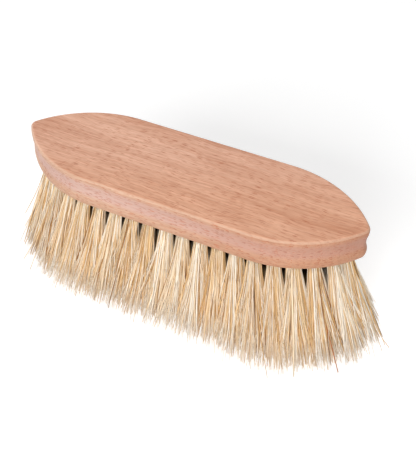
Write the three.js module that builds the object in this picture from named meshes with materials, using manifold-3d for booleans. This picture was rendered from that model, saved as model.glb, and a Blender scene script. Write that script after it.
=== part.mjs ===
// A dusting brush: one beech block with leaning blind holes, and fibre tufts folded over anchor wires.
// Millimetres, +Z up. The brush stands on its bristle tips at z = 0, its length runs along X, and the
// origin is under the middle of the block.
import * as THREE from "three";
import { mergeGeometries, mergeVertices } from "three/addons/utils/BufferGeometryUtils.js";
import Module from "manifold-3d";

// Block, seen from above: straight sides, round ends and small tip arcs.
const BLOCK_LENGTH = 210;
const BLOCK_WIDTH = 63.5;
const BLOCK_THICKNESS = 20.8;
const END_RADIUS = 67;
const TIP_RADIUS = 5;

// Moulded edge, from the top face down: eased corner, lip, cove, bead and rounded foot.
const EASE_RADIUS = 1.5;
const LIP_DROP = 1.9;
const COVE_DROP = 9.6;
const COVE_DEPTH = 1.1;
const BEAD_DROP = 15.4;
const BEAD_INSET = 0.2;
const FOOT_WIDTH = 3;

// Bristles, measured from the underside of the block to the cut tips.
const BRISTLE_LENGTH = 57.2;

// Drilling and anchoring.
const HOLE_DIAMETER = 6.8;
const HOLE_DEPTH = 11;
const ANCHOR_HEIGHT = 2.4;
const ANCHOR_THICKNESS = 0.5;
const ANCHOR_CORNER = 0.6;
const ANCHOR_BITE = 0.5;
const FOLD_HEIGHT = 1.6;

// The backing that carries the strands of a row is let into the underside of the block.
const BACKING_THICKNESS = 2;
const BACKING_MARGIN = 1.2;
const BACKING_TURN = 8;
const CLEARANCE = 0.3;

// Two rows run round the block. Inset is from the block's outline to the middle of the holes, turn is
// the radius of the row at the tips, and start is how far its first tuft lies along the row from the
// middle of the near side.
const OUTER_ROW = { tufts: 38, inset: 8.6, turn: 9, start: -2.9 };
const SECOND_ROW = { tufts: 30, inset: 19.6, turn: 7, start: 5.4 };
const CENTRE_ROW = { tufts: 11, pitch: 10.6 };

// All the tufts fan out from the middle: degrees of lean for each millimetre from it.
const FAN_ALONG = 0.15;
const FAN_ACROSS = 0.617;

// One strand stands for a lock of fibres. The strands of a tuft leave its hole on a circle. Their tips
// come from an oval round the hole, with these half-axes along the row and away from it, which the fan
// opens on the way down.
const STRANDS_PER_TUFT = 4;
const STRAND_CIRCLE = 2;
const SHARE_ROUND = 3.4;
const SHARE_AWAY = 5;
const STRAND_ROOT_RADIUS = 1;
const STRAND_TIP_RADIUS = 1.35;
const STRAND_SIDES = 3;

// Facets.
const END_STEPS = 10;
const TIP_STEPS = 6;
const EASE_STEPS = 3;
const COVE_STEPS = 5;
const BEAD_STEPS = 3;
const FOOT_STEPS = 4;
const HOLE_SIDES = 10;
const FOLD_SIDES = 6;

// How far a cutting piece goes past what it cuts, and how thin a sliver is smoothed away.
const OVERRUN = 1.5;
const SLIVER = 0.02;

// Worked out from the sizes above.
const HALF_LENGTH = BLOCK_LENGTH / 2;
const HALF_WIDTH = BLOCK_WIDTH / 2;
const UNDERSIDE = BRISTLE_LENGTH;
const TOP = BRISTLE_LENGTH + BLOCK_THICKNESS;
const HOLE_RADIUS = HOLE_DIAMETER / 2;
const FOLD_RADIUS = HOLE_RADIUS - CLEARANCE;
const BACKING_TOP = UNDERSIDE + BACKING_THICKNESS;
const STRAND_SEAT = 0.35 * BACKING_THICKNESS;
const FOLD_SEAT = 0.55 * BACKING_THICKNESS;

const wasm = await Module();
wasm.setup();

const beech = new THREE.MeshStandardMaterial({ color: 0xd49d7f, roughness: 0.6, metalness: 0 });
const fibre = new THREE.MeshStandardMaterial({ color: 0xe0c4a4, roughness: 0.75, metalness: 0 });
const steel = new THREE.MeshStandardMaterial({ color: 0xa9abad, roughness: 0.35, metalness: 1 });

// A closed geometry as a solid that can be joined and cut.
function solid(geometry) {
  const bare = geometry.index ? geometry.toNonIndexed() : geometry.clone();
  bare.deleteAttribute("normal");
  bare.deleteAttribute("uv");
  const merged = mergeVertices(bare, 1e-4);
  const vertProperties = new Float32Array(merged.attributes.position.array);
  const triVerts = new Uint32Array(merged.index.array);
  return new wasm.Manifold(new wasm.Mesh({ numProp: 3, vertProperties, triVerts }));
}

// A finished solid as a named mesh with flat faces.
function meshOf(name, made, material) {
  const { vertProperties, triVerts } = made.getMesh();
  const geometry = new THREE.BufferGeometry();
  geometry.setAttribute("position", new THREE.BufferAttribute(new Float32Array(vertProperties), 3));
  geometry.setIndex(new THREE.BufferAttribute(new Uint32Array(triVerts), 1));
  const flat = geometry.toNonIndexed();
  flat.computeVertexNormals();
  const mesh = new THREE.Mesh(flat, material);
  mesh.name = name;
  return mesh;
}

// The block's outline moved inwards by an inset, as the arcs of its far right quarter: the end arc, then
// the tip arc. The arcs stay tangent, and the tip arc's radius is at least the given turn.
function outlineArcs(inset, turn) {
  const endRadius = END_RADIUS - inset;
  const tipRadius = Math.max(TIP_RADIUS - inset, turn);
  const endDrop = END_RADIUS - HALF_WIDTH;
  const straight = HALF_LENGTH - TIP_RADIUS - Math.sqrt((END_RADIUS - TIP_RADIUS) ** 2 - endDrop ** 2);
  const reach = Math.sqrt((endRadius - tipRadius) ** 2 - endDrop ** 2);
  const tangent = Math.atan2(endDrop, reach);
  return { endRadius, tipRadius, endDrop, straight, tipCentre: straight + reach, tangent };
}

// The whole outline, anticlockwise from the right tip, as points of four end arcs and two tip arcs. The
// straight sides join them.
function outline(inset, turn = 0) {
  const { endRadius, tipRadius, endDrop, straight, tipCentre, tangent } = outlineArcs(inset, turn);
  const end = new THREE.EllipseCurve(straight, -endDrop, endRadius, endRadius, tangent, Math.PI / 2);
  const tip = new THREE.EllipseCurve(tipCentre, 0, tipRadius, tipRadius, 0, tangent);
  const quarter = [...tip.getPoints(TIP_STEPS / 2), ...end.getPoints(END_STEPS).slice(1)];
  const half = [...quarter, ...quarter.map((p) => new THREE.Vector2(-p.x, p.y)).reverse()];
  const other = half.map((p) => new THREE.Vector2(-p.x, -p.y));
  return [...half, ...other.slice(1, -1)];
}

// The moulded edge as (inset, height) points, from the top face down to the underside.
function edgeProfile() {
  const ease = new THREE.EllipseCurve(EASE_RADIUS, TOP - EASE_RADIUS, EASE_RADIUS, EASE_RADIUS,
    Math.PI / 2, Math.PI);
  const cove = sweepCurve(0, TOP - LIP_DROP, COVE_DEPTH, TOP - COVE_DROP);
  const bead = sweepCurve(COVE_DEPTH, TOP - COVE_DROP, BEAD_INSET, TOP - BEAD_DROP);
  const footHeight = BLOCK_THICKNESS - BEAD_DROP;
  const foot = new THREE.EllipseCurve(BEAD_INSET + FOOT_WIDTH, TOP - BEAD_DROP, FOOT_WIDTH, footHeight,
    Math.PI, 1.5 * Math.PI);
  return [
    ...ease.getPoints(EASE_STEPS),
    ...cove.getPoints(COVE_STEPS),
    ...bead.getPoints(BEAD_STEPS).slice(1),
    ...foot.getPoints(FOOT_STEPS).slice(1),
  ];
}

// A soft S between two points of the edge, upright at both ends.
function sweepCurve(fromInset, fromHeight, toInset, toHeight) {
  const middle = (fromHeight + toHeight) / 2;
  return new THREE.CubicBezierCurve(
    new THREE.Vector2(fromInset, fromHeight),
    new THREE.Vector2(fromInset, middle),
    new THREE.Vector2(toInset, middle),
    new THREE.Vector2(toInset, toHeight),
  );
}

// A closed skin over level rings of equal length, from the highest ring to the lowest.
function skin(rings) {
  const count = rings[0].length;
  const positions = rings.flatMap((ring) => ring.flatMap((p) => [p.x, p.y, p.z]));
  const index = [];
  for (let row = 0; row + 1 < rings.length; row++) {
    for (let i = 0; i < count; i++) {
      const next = (i + 1) % count;
      const upper = row * count;
      const lower = upper + count;
      index.push(upper + i, lower + i, lower + next);
      index.push(upper + i, lower + next, upper + next);
    }
  }
  const last = (rings.length - 1) * count;
  for (const [a, b, c] of THREE.ShapeUtils.triangulateShape(rings[0], [])) {
    index.push(a, b, c);
    index.push(last + c, last + b, last + a);
  }
  const geometry = new THREE.BufferGeometry();
  geometry.setAttribute("position", new THREE.Float32BufferAttribute(positions, 3));
  geometry.setIndex(index);
  return geometry;
}

// An outline at one height, as a ring of the skin.
function ringAt({ x: inset, y: height }) {
  return outline(inset).map((p) => new THREE.Vector3(p.x, p.y, height));
}

// A plate of the given outline between two heights.
function plate(points, low, high) {
  const geometry = new THREE.ExtrudeGeometry(new THREE.Shape(points), {
    depth: high - low,
    bevelEnabled: false,
  });
  return solid(geometry.translate(0, 0, low));
}

// A ring of backing between an outer and an inner outline.
function backingRing(outer, inner) {
  const opening = plate(inner, UNDERSIDE - OVERRUN, BACKING_TOP + OVERRUN);
  return plate(outer, UNDERSIDE, BACKING_TOP).subtract(opening);
}

// The long island of backing under the centre row, a slot shape with round ends.
function islandPoints(grow) {
  const radius = islandRadius() + grow;
  const middle = centreReach() + HOLE_RADIUS + BACKING_MARGIN - islandRadius();
  const round = new THREE.EllipseCurve(middle, 0, radius, radius, -Math.PI / 2, Math.PI / 2);
  const right = round.getPoints(2 * TIP_STEPS);
  return [...right, ...right.map((p) => new THREE.Vector2(-p.x, -p.y))];
}

// Half the room between the second row's holes and the centre row's.
function islandRadius() {
  return (HALF_WIDTH - SECOND_ROW.inset) / 2 - CLEARANCE / 2;
}

// How far the centre row's last hole is from the middle.
function centreReach() {
  return ((CENTRE_ROW.tufts - 1) / 2) * CENTRE_ROW.pitch;
}

// The way down at a place on the underside, for each millimetre of drop.
function fanAt({ x, y }) {
  const lean = [FAN_ALONG * x, FAN_ACROSS * y];
  const slopes = lean.map((degrees) => Math.tan(THREE.MathUtils.degToRad(degrees)));
  return new THREE.Vector3(...slopes, -1);
}

// One tuft: the middle of its hole on the underside, the direction of its row, the direction away from
// the row, the axis up the hole, and the direction of its anchor wire, as near to the row's as it can be.
function tuftAt(place, forward) {
  const mouth = new THREE.Vector3(place.x, place.y, UNDERSIDE);
  const round = new THREE.Vector3(forward.x, forward.y, 0);
  const away = new THREE.Vector3(forward.y, -forward.x, 0);
  const axis = fanAt(place).negate().normalize();
  const wire = round.clone().projectOnPlane(axis).normalize();
  return { mouth, round, away, axis, wire };
}

// The tufts of a row that follows the outline: evenly spaced, anticlockwise from the near side.
function ringRow(row) {
  const arcs = outlineArcs(row.inset, row.turn);
  const { endRadius, tipRadius, endDrop, straight, tipCentre, tangent } = arcs;
  const near = -endDrop + endRadius;
  const path = new THREE.CurvePath();
  const arc = (x, y, radius, from, to) => new THREE.EllipseCurve(x, y, radius, radius, from, to);
  const line = (x0, y0, x1, y1) =>
    new THREE.LineCurve(new THREE.Vector2(x0, y0), new THREE.Vector2(x1, y1));
  path.add(line(0, -near, straight, -near));
  path.add(arc(straight, endDrop, endRadius, -Math.PI / 2, -tangent));
  path.add(arc(tipCentre, 0, tipRadius, -tangent, tangent));
  path.add(arc(straight, -endDrop, endRadius, tangent, Math.PI / 2));
  path.add(line(straight, near, -straight, near));
  path.add(arc(-straight, -endDrop, endRadius, Math.PI / 2, Math.PI - tangent));
  path.add(arc(-tipCentre, 0, tipRadius, Math.PI - tangent, Math.PI + tangent));
  path.add(arc(-straight, endDrop, endRadius, Math.PI + tangent, 1.5 * Math.PI));
  path.add(line(-straight, -near, 0, -near));
  const first = row.start / path.getLength();
  return Array.from({ length: row.tufts }, (_, i) => {
    const t = (first + i / row.tufts + 1) % 1;
    return tuftAt(path.getPointAt(t), path.getTangentAt(t));
  });
}

// The tufts of the centre row. Their anchor wires stand across the row.
function centreRow(row) {
  return Array.from({ length: row.tufts }, (_, i) => {
    const place = new THREE.Vector2(i * row.pitch - centreReach(), 0);
    const tuft = tuftAt(place, new THREE.Vector2(1, 0));
    return { ...tuft, wire: tuft.axis.clone().cross(tuft.wire) };
  });
}

// A solid made round the Y axis, moved to a tuft: x along its anchor wire, y up its hole.
function onAxis(made, tuft) {
  const across = new THREE.Vector3().crossVectors(tuft.wire, tuft.axis);
  const frame = new THREE.Matrix4().makeBasis(tuft.wire, tuft.axis, across).setPosition(tuft.mouth);
  return made.transform(frame.elements);
}

// A round solid on the Y axis, between two distances up from the hole's mouth.
function rod(radius, low, high, sides) {
  const geometry = new THREE.CylinderGeometry(radius, radius, high - low, sides);
  return solid(geometry.translate(0, (low + high) / 2, 0));
}

// The height of an anchor wire's middle above the mouth, under the fold of its tuft.
const ANCHOR_RISE = HOLE_DEPTH - CLEARANCE - FOLD_HEIGHT - CLEARANCE - ANCHOR_HEIGHT / 2;

// A flat anchor wire with clipped corners, set on edge across the hole.
function anchorWire(length) {
  const x = length / 2;
  const y = ANCHOR_HEIGHT / 2;
  const shape = new THREE.Shape();
  shape.moveTo(-x, -y);
  shape.lineTo(x, -y);
  shape.lineTo(x, y - ANCHOR_CORNER);
  shape.lineTo(x - ANCHOR_CORNER, y);
  shape.lineTo(-x + ANCHOR_CORNER, y);
  shape.lineTo(-x, y - ANCHOR_CORNER);
  const wire = new THREE.ExtrudeGeometry(shape, { depth: ANCHOR_THICKNESS, bevelEnabled: false });
  return solid(wire.translate(0, ANCHOR_RISE, -ANCHOR_THICKNESS / 2));
}

// The folded end of a tuft in its hole, with the passage that it leaves round its anchor wire.
function foldedEnd() {
  const passage = new THREE.BoxGeometry(
    HOLE_DIAMETER,
    ANCHOR_HEIGHT + 2 * CLEARANCE,
    ANCHOR_THICKNESS + 2 * CLEARANCE,
  );
  const fold = rod(FOLD_RADIUS, FOLD_SEAT, HOLE_DEPTH - CLEARANCE, FOLD_SIDES);
  return fold.subtract(solid(passage.translate(0, ANCHOR_RISE, 0)));
}

// The strands of one tuft. Each stands in the backing and runs straight from a circle at the mouth to
// the level of the tips. The circle opens on the way, so that no two strands meet.
function strandsOf(tuft) {
  return Array.from({ length: STRANDS_PER_TUFT }, (_, i) => {
    const angle = (2 * Math.PI * (i + 0.5)) / STRANDS_PER_TUFT;
    const root = onOval(tuft, tuft.mouth, STRAND_CIRCLE, STRAND_CIRCLE, angle);
    const seat = root.clone().setZ(UNDERSIDE + STRAND_SEAT);
    const share = onOval(tuft, tuft.mouth, SHARE_ROUND, SHARE_AWAY, angle);
    const tip = share.clone().addScaledVector(fanAt(share), UNDERSIDE);
    return skin([
      section(tuft, seat, STRAND_ROOT_RADIUS),
      section(tuft, root, STRAND_ROOT_RADIUS),
      section(tuft, tip, STRAND_TIP_RADIUS),
    ]);
  });
}

// A point on a level oval about a centre, with its half-axes along the tuft's row and away from it.
function onOval(tuft, centre, halfRound, halfAway, angle) {
  const point = centre.clone().addScaledVector(tuft.round, halfRound * Math.cos(angle));
  return point.addScaledVector(tuft.away, -halfAway * Math.sin(angle));
}

// A strand's level section: a small polygon, anticlockwise from above.
function section(tuft, centre, radius) {
  return Array.from({ length: STRAND_SIDES }, (_, i) => {
    const angle = (2 * Math.PI * (i + 0.75)) / STRAND_SIDES;
    return onOval(tuft, centre, radius, radius, angle);
  });
}

// A row of tufts on its backing: the strands below, and in each hole the folded end that goes round its
// anchor wire.
function tuftRow(backing, tufts) {
  const end = foldedEnd();
  const ends = tufts.map((tuft) => onAxis(end, tuft));
  const strands = solid(mergeGeometries(tufts.flatMap(strandsOf)));
  return wasm.Manifold.union([backing, ...ends, strands]).simplify(SLIVER);
}

// The block: the moulded outline, the recess for the backing and a hole for each tuft. The anchor wires
// of the second row are one with it.
function blockSolid(rows, fixedTufts) {
  const body = solid(skin(edgeProfile().map(ringAt)));
  const rim = outline(outerMargin() - CLEARANCE);
  const recess = plate(rim, UNDERSIDE - OVERRUN, BACKING_TOP + CLEARANCE);
  const hole = rod(HOLE_RADIUS, -OVERRUN, HOLE_DEPTH, HOLE_SIDES);
  const holes = rows.flat().map((tuft) => onAxis(hole, tuft));
  const wire = anchorWire(HOLE_DIAMETER + 2 * ANCHOR_BITE);
  const wires = fixedTufts.map((tuft) => onAxis(wire, tuft));
  const drilled = wasm.Manifold.difference([body, recess, ...holes]);
  return wasm.Manifold.union([drilled, ...wires]);
}

// The inset of the backing's edge, and of the joint between the two ring-shaped pieces of backing.
function outerMargin() {
  return OUTER_ROW.inset - HOLE_RADIUS - BACKING_MARGIN + CLEARANCE;
}

function ringJoint() {
  return (OUTER_ROW.inset + SECOND_ROW.inset) / 2;
}

const outerTufts = ringRow(OUTER_ROW);
const secondTufts = ringRow(SECOND_ROW);
const centreTufts = centreRow(CENTRE_ROW);

const outerBacking = backingRing(outline(outerMargin()), outline(ringJoint() - CLEARANCE / 2, BACKING_TURN));
const secondBacking = backingRing(
  outline(ringJoint() + CLEARANCE / 2, BACKING_TURN - CLEARANCE),
  islandPoints(CLEARANCE),
);
const centreBacking = plate(islandPoints(0), UNDERSIDE, BACKING_TOP);

const brush = new THREE.Group();
brush.name = "brush";
brush.add(meshOf("block", blockSolid([outerTufts, secondTufts, centreTufts], secondTufts), beech));
brush.add(meshOf("outer_row_tufts", tuftRow(outerBacking, outerTufts), fibre));
brush.add(meshOf("second_row_tufts", tuftRow(secondBacking, secondTufts), fibre));
brush.add(meshOf("centre_row_tufts", tuftRow(centreBacking, centreTufts), fibre));

// The anchor wires of the outer and centre rows, each a piece of its own.
const looseRows = { outer: outerTufts, centre: centreTufts };
const looseWire = anchorWire(HOLE_DIAMETER - 2 * CLEARANCE);
for (const [rowName, tufts] of Object.entries(looseRows)) {
  const anchors = new THREE.Group();
  tufts.forEach((tuft, i) => {
    const number = String(i + 1).padStart(2, "0");
    anchors.add(meshOf(`${rowName}_anchor_wire_${number}`, onAxis(looseWire, tuft), steel));
  });
  brush.add(anchors);
}

export default brush;
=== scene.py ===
import math
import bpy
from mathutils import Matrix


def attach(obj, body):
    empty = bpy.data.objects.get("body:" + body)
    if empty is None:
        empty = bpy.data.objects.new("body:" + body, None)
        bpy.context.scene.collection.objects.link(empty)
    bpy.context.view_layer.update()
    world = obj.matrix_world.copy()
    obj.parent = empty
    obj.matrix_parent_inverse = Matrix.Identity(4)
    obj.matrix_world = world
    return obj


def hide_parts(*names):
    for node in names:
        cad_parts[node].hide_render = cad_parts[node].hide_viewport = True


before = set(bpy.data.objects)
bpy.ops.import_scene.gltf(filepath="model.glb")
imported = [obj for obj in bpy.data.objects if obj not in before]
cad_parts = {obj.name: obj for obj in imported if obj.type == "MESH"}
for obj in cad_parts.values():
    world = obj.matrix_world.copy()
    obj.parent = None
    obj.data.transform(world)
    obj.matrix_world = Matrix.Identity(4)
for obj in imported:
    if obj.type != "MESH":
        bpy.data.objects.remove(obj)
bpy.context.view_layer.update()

from types import SimpleNamespace

import bmesh
import bpy
import numpy as np
from bpy.props import FloatProperty, FloatVectorProperty, IntProperty, PointerProperty
from mathutils import Matrix, Vector

bl_info = {
    "name": "Dusting Brush",
    "version": (1, 0, 0),
    "blender": (4, 5, 0),
    "location": "View3D > Sidebar > Brush",
    "description": "A beech block brush with folded fibre tufts, its materials and a plain studio",
    "category": "Object",
}

BODY = "root"
MM = 0.001


def srgb(red, green, blue):
    """A screen colour from 0 to 255 as a linear colour."""
    return tuple((c / 255 / 12.92 if c <= 10 else ((c / 255 + 0.055) / 1.055) ** 2.4)
                 for c in (red, green, blue))


def length(name, description, default):
    return FloatProperty(name=name, description=description, default=default * MM,
                         min=0, precision=5, unit="LENGTH")


def colour(name, description, *rgb):
    return FloatVectorProperty(name=name, description=description, default=srgb(*rgb),
                               size=3, min=0, max=1, subtype="COLOR")


def share(name, description, default):
    return FloatProperty(name=name, description=description, default=default,
                         min=0, max=1, subtype="FACTOR")


def number(name, description, default):
    return IntProperty(name=name, description=description, default=default, min=1)


def power(name, description, default):
    return FloatProperty(name=name, description=description, default=default, min=0, unit="POWER")


class BlockSettings(bpy.types.PropertyGroup):
    """Sizes and colours of the beech block."""

    length: length("Length", "Length of the block, tip to tip", 210)
    width: length("Width", "Width of the block across the straight sides", 63.5)
    thickness: length("Thickness", "Thickness of the block", 20.8)
    end_radius: length("End radius", "Radius of the long end curves", 67)
    tip_radius: length("Tip radius", "Radius of the small curve at each tip", 5)
    ease: length("Ease", "Radius of the rounded upper edge", 1.5)
    lip_drop: length("Lip drop", "Drop to the end of the upper lip", 1.9)
    cove_drop: length("Cove drop", "Drop to the deepest line of the cove", 9.6)
    cove_depth: length("Cove depth", "Depth of the cove behind the lip", 1.1)
    bead_drop: length("Bead drop", "Drop to the widest line of the bead", 15.4)
    bead_inset: length("Bead inset", "How far the bead stays behind the lip", 0.2)
    foot_width: length("Foot width", "Width of the round turn under the bead", 3)
    hole_diameter: length("Hole diameter", "Diameter of the drilled holes", 6.8)
    hole_depth: length("Hole depth", "Depth of the drilled holes", 11)
    face_light: colour("Light face", "Light bands of the planed top", 234, 186, 160)
    face_dark: colour("Dark face", "Darker bands of the planed top", 189, 131, 101)
    side_light: colour("Light side", "Light parts of the moulded side", 205, 170, 146)
    side_dark: colour("Dark side", "Darker parts of the moulded side", 174, 132, 107)
    # Painted shade: the right end of the top and of the side is multiplied darker and warmer,
    # standing in for cooler light from the left.
    face_painted_shade: colour("Warm face", "What the near right part of the top keeps", 251, 244, 235)
    side_painted_shade: colour("Warm side", "What the right end of the side keeps", 234, 211, 195)
    # Painted reflection: the cool sheen in the upper part of the cove.
    cove_painted_sheen: colour("Cove", "Burnished upper part of the cove", 190, 158, 152)
    pore: colour("Pores", "Short pores along the grain", 172, 96, 60)
    fleck: colour("Flecks", "Short ray flecks on the side", 150, 84, 56)


class TuftSettings(bpy.types.PropertyGroup):
    """Sizes, counts and colours of the fibre tufts and their anchor wires."""

    bristle_length: length("Bristle length", "Length of the tufts below the block", 57.2)
    outer_fibres: number("Outer fibres", "Fibres on the outside of an outer tuft", 190)
    inner_fibres: number("Inner fibres", "Fibres in each tuft of the inner rows", 140)
    stray_fibres: number("Stray fibres", "Single wild fibres that cross the others", 210)
    fibre_radius: length("Fibre radius", "Mean radius of one fibre", 0.28)
    root_circle: length("Root circle", "Radius of a tuft in its hole", 3.1)
    room_along: length("Room along", "Half the room of a tuft along its row, at the block", 7)
    room_away: length("Room across", "Half the room of a tuft across its row, at the block", 7.4)
    ragged: length("Ragged tips", "Usual difference in length of the tips", 1.1)
    gather: share("Gather", "How far fibres gather in locks towards the tips", 0.25)
    anchor_height: length("Anchor height", "Height of the flat anchor wire", 2.4)
    anchor_thickness: length("Anchor thickness", "Thickness of the anchor wire", 0.5)
    anchor_bite: length("Anchor bite", "How far an anchor wire goes into the wood", 0.5)
    ivory: colour("Ivory", "Palest fibres", 237, 228, 214)
    cream: colour("Cream", "Usual fibres", 234, 213, 183)
    straw: colour("Straw", "Warmer fibres", 222, 188, 139)
    honey: colour("Honey", "Darker fibres", 191, 146, 91)
    umber: colour("Umber", "Darkest usual fibres", 120, 77, 38)
    russet: colour("Russet", "The odd red brown fibre", 168, 100, 52)
    # Painted shade: the near-black colour that fibres fade to at their roots and deep between the
    # tufts.
    deep: colour("Deep", "Fibres deep between the tufts", 16, 9, 4)
    tip: colour("Tip", "Frayed tips of the fibres", 248, 240, 233)
    steel: colour("Steel", "Drawn anchor wire", 168, 170, 173)


class StudioSettings(bpy.types.PropertyGroup):
    """The floor, the lights and the camera."""

    floor_colour: colour("Floor", "Plain pale floor", 240, 240, 240)
    floor_size: FloatProperty(name="Floor size", default=4, min=1, unit="LENGTH",
                              description="Length of the floor's sides")
    key_power: power("Key light", "Power of the large light on the near side", 18.5)
    top_power: power("Top light", "Power of the large light overhead", 6.2)
    rim_power: power("Rim lights", "Power of the low light at the left end; the right has half", 4)
    sky_level: share("Sky level", "Level of the even light from all round", 0.35)
    focal_length: FloatProperty(name="Focal length", default=70.1, min=1, unit="CAMERA",
                                description="Focal length on a 36 mm sensor")


# --- Where the tufts are ---

# A row's inset from the outline, its turn at the block's ends, and where its first tuft is from the
# middle of the near side.
OUTER_ROW = dict(tufts=38, inset=8.6 * MM, turn=9 * MM, start=-2.9 * MM)
SECOND_ROW = dict(tufts=30, inset=19.6 * MM, turn=7 * MM, start=5.4 * MM)
CENTRE_ROW = dict(tufts=11, pitch=10.6 * MM)
# Degrees of lean of the holes for each mm from the middle.
FAN_ALONG = 0.15
FAN_ACROSS = 0.617
# The fibres of a full brush push each other: those on the left fan out less than their holes, those
# on the right more, and they also lean a little to the near side.
BENT_LEFT = 0.13
BENT_RIGHT = 0.2
BENT_NEAR = 0.05
# Points on each arc of a row's path.
PATH_STEPS = 400


def outline_arcs(block, inset, turn=0.0):
    """The end arc and the tip arc of the outline moved inwards by an inset."""
    end_drop = block.end_radius - block.width / 2
    span = math.sqrt((block.end_radius - block.tip_radius) ** 2 - end_drop**2)
    end_radius = block.end_radius - inset
    tip_radius = max(block.tip_radius - inset, turn)
    reach = math.sqrt((end_radius - tip_radius) ** 2 - end_drop**2)
    straight = block.length / 2 - block.tip_radius - span
    return SimpleNamespace(end_radius=end_radius, tip_radius=tip_radius, end_drop=end_drop,
                           straight=straight, tip_centre=straight + reach,
                           tangent=math.atan2(end_drop, reach))


def arc_points(x, y, radius, start, stop):
    angles = np.linspace(start, stop, PATH_STEPS)
    return np.stack([x + radius * np.cos(angles), y + radius * np.sin(angles)], 1)


def unit(rows):
    return rows / np.linalg.norm(rows, axis=-1, keepdims=True)


def fan_at(places, bent=False):
    """The way down at places on the underside, for each metre of drop: of holes or of fibres."""
    x, y = places[:, 0] / MM, places[:, 1] / MM
    along = np.where(x < 0, BENT_LEFT, BENT_RIGHT) if bent else FAN_ALONG
    near = BENT_NEAR * np.maximum(x, 0) if bent else 0
    slopes = np.tan(np.radians(np.stack([along * x, FAN_ACROSS * y - near], 1)))
    return np.column_stack([slopes, -np.ones(len(places))])


def tufts_on(places, forward, height):
    """Tufts as arrays: the mouth of the hole, the direction of the row, the way out from it, the
    axis up the hole, and the direction of the wire."""
    flat = np.zeros(len(places))
    mouth = np.column_stack([places, flat + height])
    along = np.column_stack([forward, flat])
    axis = unit(-fan_at(mouth))
    wire = unit(along - axis * (along * axis).sum(1, keepdims=True))
    away = np.column_stack([forward[:, 1], -forward[:, 0], flat])
    return SimpleNamespace(mouth=mouth, along=along, away=away, axis=axis, wire=wire)


def ring_row(block, row, height):
    """A row of tufts that follows the outline, evenly spaced."""
    arcs = outline_arcs(block, row["inset"], row["turn"])
    near = arcs.end_radius - arcs.end_drop
    quarter = math.pi / 2
    half = np.concatenate([
        [[0, -near]],
        arc_points(arcs.straight, arcs.end_drop, arcs.end_radius, -quarter, -arcs.tangent),
        arc_points(arcs.tip_centre, 0, arcs.tip_radius, -arcs.tangent, arcs.tangent),
        arc_points(arcs.straight, -arcs.end_drop, arcs.end_radius, arcs.tangent, quarter),
        [[0, near]],
    ])
    line = np.concatenate([half, -half[1:]])
    steps = np.linalg.norm(np.diff(line, axis=0), axis=1)
    gone = np.concatenate([[0], np.cumsum(steps)])
    at = (row["start"] + np.arange(row["tufts"]) * gone[-1] / row["tufts"]) % gone[-1]
    step = (np.searchsorted(gone, at, side="right") - 1).clip(0, len(steps) - 1)
    forward = np.diff(line, axis=0)[step] / steps[step, None]
    places = line[step] + forward * (at - gone[step])[:, None]
    return tufts_on(places, forward, height)


def centre_row(row, height):
    """The straight centre row, whose anchor wires stand across the block."""
    x = (np.arange(row["tufts"]) - (row["tufts"] - 1) / 2) * row["pitch"]
    places = np.stack([x, 0 * x], 1)
    tufts = tufts_on(places, np.stack([0 * x + 1, 0 * x], 1), height)
    tufts.wire = np.cross(tufts.axis, tufts.wire)
    return tufts


def all_rows(block, height):
    """The three rows, their mouths at a height."""
    return {"outer": ring_row(block, OUTER_ROW, height),
            "second": ring_row(block, SECOND_ROW, height),
            "centre": centre_row(CENTRE_ROW, height)}


def some_of(tufts, chosen):
    return SimpleNamespace(**{name: rows[chosen] for name, rows in vars(tufts).items()})


# --- Making pieces ---

# Steps round the block's curves.
TIP_STEPS = 7
END_STEPS = 30
EASE_STEPS = 6
COVE_STEPS = 12
BEAD_STEPS = 7
FOOT_STEPS = 9
HOLE_SIDES = 24
# The ring inside the edge of the flat faces, and how far the drill starts below the underside.
SUPPORT_INSET = 0.8 * MM
OVERRUN = 2 * MM
MERGE_DISTANCE = 1e-6
SMOOTH_ANGLE = math.radians(40)
LEAST_FACES = 100
# From the end of a hole down to its anchor wire, and the rounding of the wire's edges.
WIRE_DROP = 2.2 * MM
WIRE_ROUND = 0.12 * MM
ROUND_STEPS = 2


def loose_object(name, mesh):
    made = bpy.data.objects.new(name, mesh)
    bpy.context.scene.collection.objects.link(made)
    return made


def new_piece(name, mesh, material, slot, *nodes):
    """A finished piece that rides on the brush and stands for the CAD nodes."""
    piece = loose_object(name, mesh)
    mesh.materials.clear()
    mesh.materials.append(material)
    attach(piece, BODY)
    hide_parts(*nodes)
    return piece


def mesh_from(bm, name):
    """A clean mesh of what a bmesh holds. The bmesh goes."""
    bmesh.ops.remove_doubles(bm, verts=bm.verts[:], dist=MERGE_DISTANCE)
    bmesh.ops.recalc_face_normals(bm, faces=bm.faces[:])
    mesh = bpy.data.meshes.new(name)
    bm.to_mesh(mesh)
    bm.free()
    return mesh


def smoothed(mesh):
    mesh.shade_smooth()
    mesh.set_sharp_from_angle(angle=SMOOTH_ANGLE)
    return mesh


def settled(made):
    """The mesh of an object with its modifiers applied. The object goes."""
    graph = bpy.context.evaluated_depsgraph_get()
    mesh = bpy.data.meshes.new_from_object(made.evaluated_get(graph), depsgraph=graph)
    bpy.data.objects.remove(made)
    return mesh


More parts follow.
